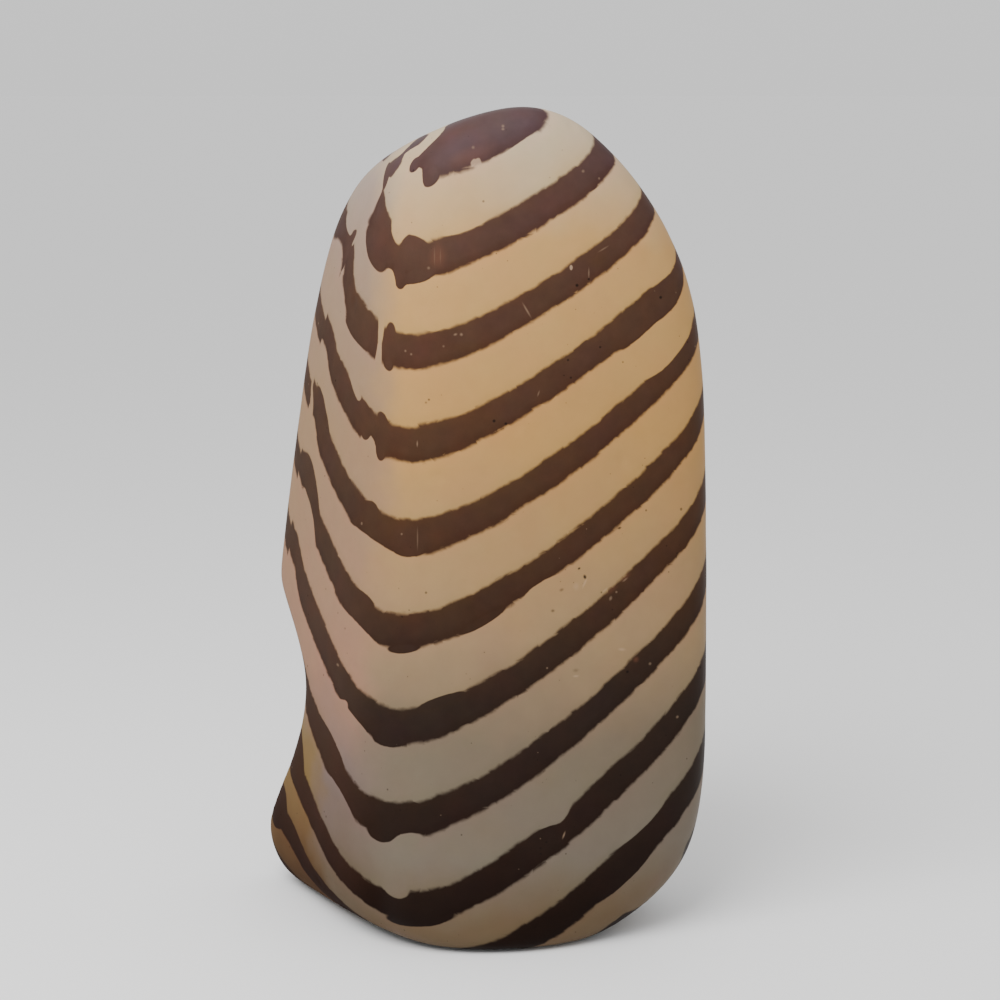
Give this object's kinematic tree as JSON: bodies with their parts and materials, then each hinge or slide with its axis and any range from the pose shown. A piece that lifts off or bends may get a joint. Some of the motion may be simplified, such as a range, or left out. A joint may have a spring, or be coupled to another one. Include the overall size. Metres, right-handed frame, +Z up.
{
  "type": "zebra stone",
  "caption": "Hand-ground, polished freeform of banded siltstone, tall and rounded with a domed top, sawn flat underneath to stand on its end.",
  "frame": {"origin": "middle of the stone's extent in X and Y, on the sawn flat that it stands on", "axes": "+Z up along the stone's height, -Y out of the broad polished face, -X out of the side ground nearly square to it"},
  "size_m": [0.0808, 0.0516, 0.1448],
  "materials": {
    "banded_stone": "satin hand polish over tan siltstone with parallel dark red-brown bands, fine pits and light scratches"
  },
  "bodies": {
    "root": {"zebra_stone": "banded_stone"}
  },
  "joints": []
}
